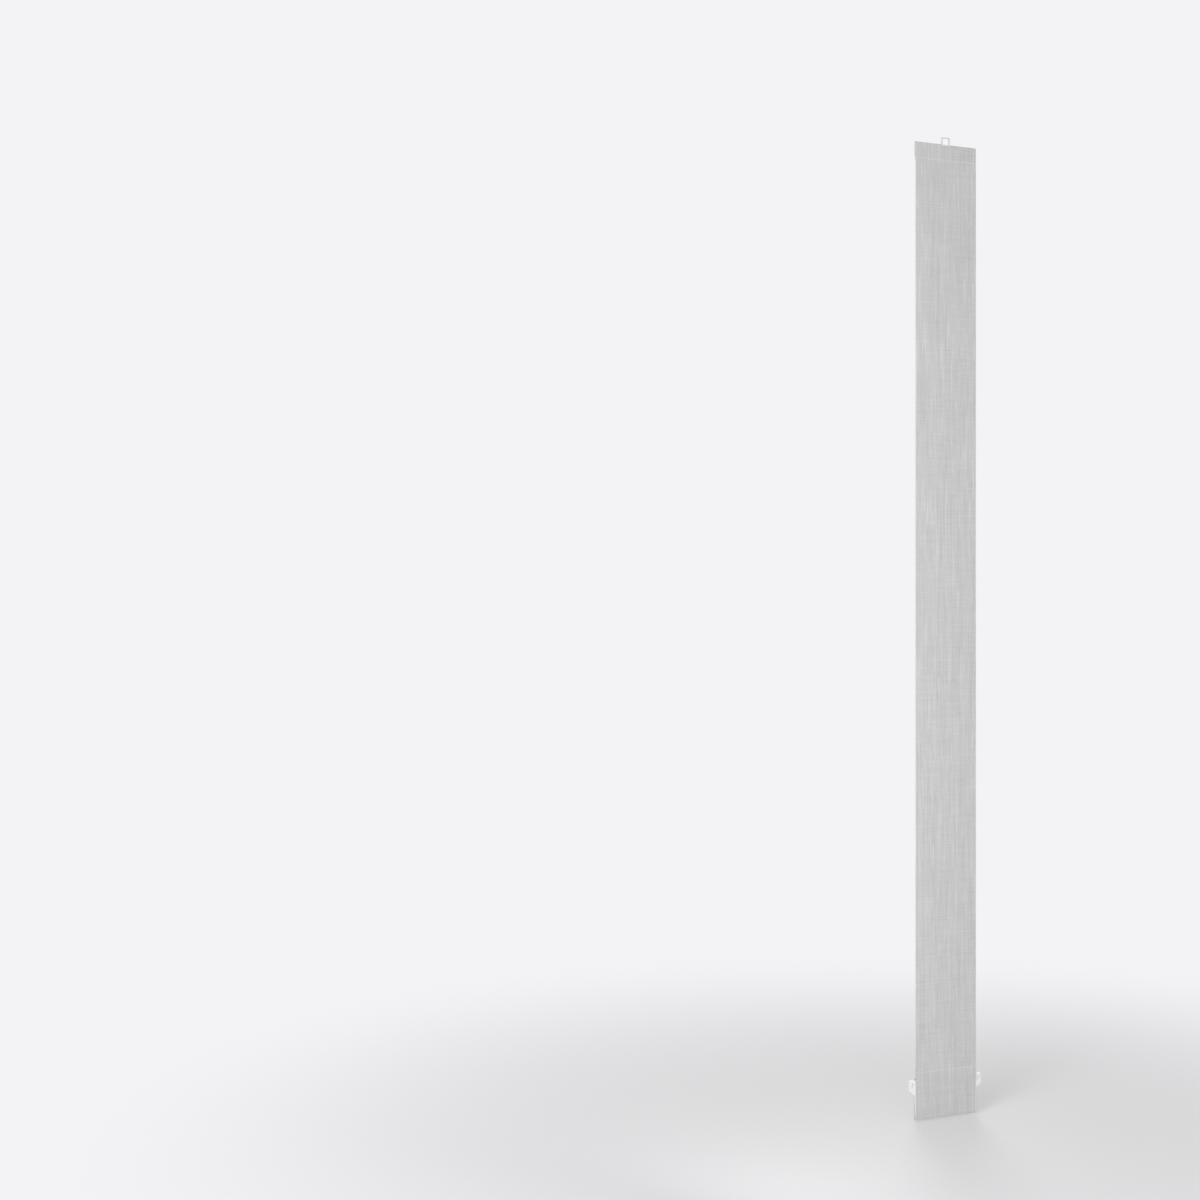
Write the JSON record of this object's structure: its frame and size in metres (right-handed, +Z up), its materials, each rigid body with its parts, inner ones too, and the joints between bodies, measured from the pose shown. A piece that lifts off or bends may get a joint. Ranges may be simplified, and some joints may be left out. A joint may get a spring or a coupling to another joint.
{
  "type": "vertical blind vane",
  "caption": "Long flat cloth vane of a vertical blind, folded into a pocket at each end, with a moulded hanger loop on top and a weighted case with slotted chain lugs at the bottom.",
  "frame": {"origin": "where the carrier's hook bears: the middle of the underside of the hanger loop's top bar", "axes": "+Z up along the hanging vane, X across its width, -Y the face towards the room"},
  "size_m": [0.105, 0.0042, 1.2088],
  "materials": {
    "cloth": "matte",
    "hanger_plastic": "satin",
    "case_plastic": "satin",
    "zinc_plated_steel": "satin"
  },
  "bodies": {
    "root": {"fabric_louvre": "cloth", "top_hanger": "hanger_plastic", "bottom_weight_case": "case_plastic", "steel_weight_plate": "zinc_plated_steel"}
  },
  "joints": []
}
